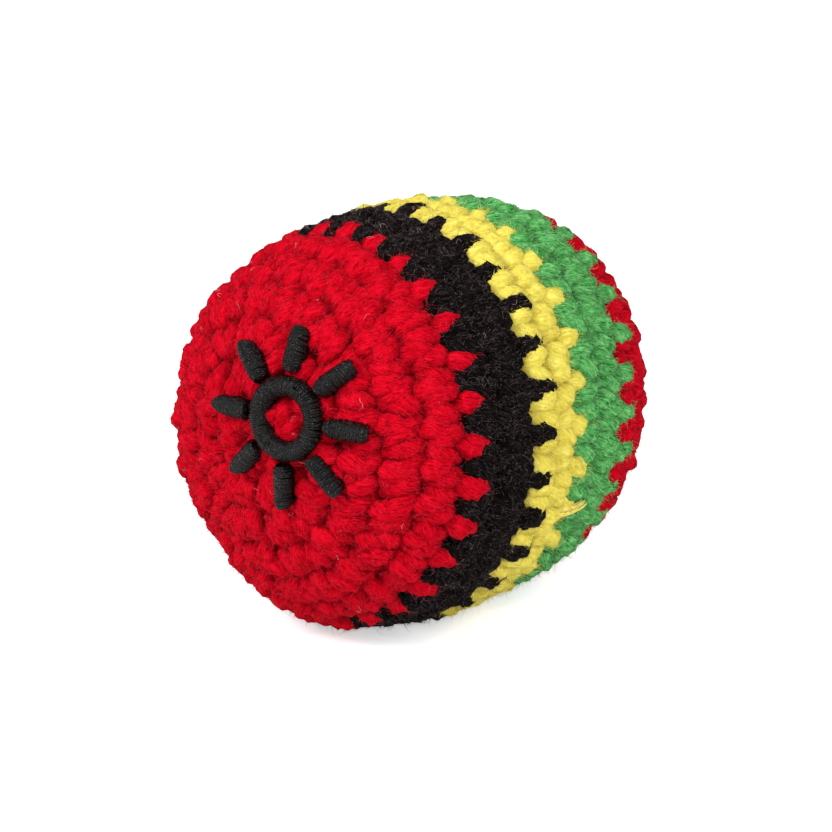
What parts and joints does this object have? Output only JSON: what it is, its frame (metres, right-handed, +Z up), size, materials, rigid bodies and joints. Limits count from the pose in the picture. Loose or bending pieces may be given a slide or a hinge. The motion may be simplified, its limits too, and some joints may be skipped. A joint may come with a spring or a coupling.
{
  "type": "crocheted footbag",
  "caption": "Soft crocheted ball of acrylic yarn in red, black, yellow, green and red bands, with a raised satin-stitched sun, over a tied liner full of plastic pellets.",
  "frame": {"origin": "on the ground under the middle of the ball and its raised sun", "axes": "+Z up; Y along the ball's long axis, with the sun end towards -Y; X across"},
  "size_m": [0.05, 0.0562, 0.0493],
  "materials": {
    "red_yarn": "soft worsted acrylic yarn, single crochet",
    "black_yarn": "soft worsted acrylic yarn, single crochet",
    "yellow_yarn": "soft worsted acrylic yarn, single crochet",
    "green_yarn": "soft worsted acrylic yarn, single crochet",
    "satin_thread": "glossy satin stitch in fine thread",
    "liner_cloth": "thin knitted black nylon",
    "tie_thread": "bonded black nylon thread",
    "pellets": "rounded polyethylene pellets"
  },
  "bodies": {
    "root": {"front_cap": "red_yarn", "black_band": "black_yarn", "yellow_band": "yellow_yarn", "green_band": "green_yarn", "rear_cap": "red_yarn", "liner": "liner_cloth", "liner_tie": "tie_thread", "pellet_fill": "pellets", "sun_ring": "satin_thread", "sun_ray_1": "satin_thread", "sun_ray_2": "satin_thread", "sun_ray_3": "satin_thread", "sun_ray_4": "satin_thread", "sun_ray_5": "satin_thread", "sun_ray_6": "satin_thread", "sun_ray_7": "satin_thread", "sun_ray_8": "satin_thread"}
  },
  "joints": []
}
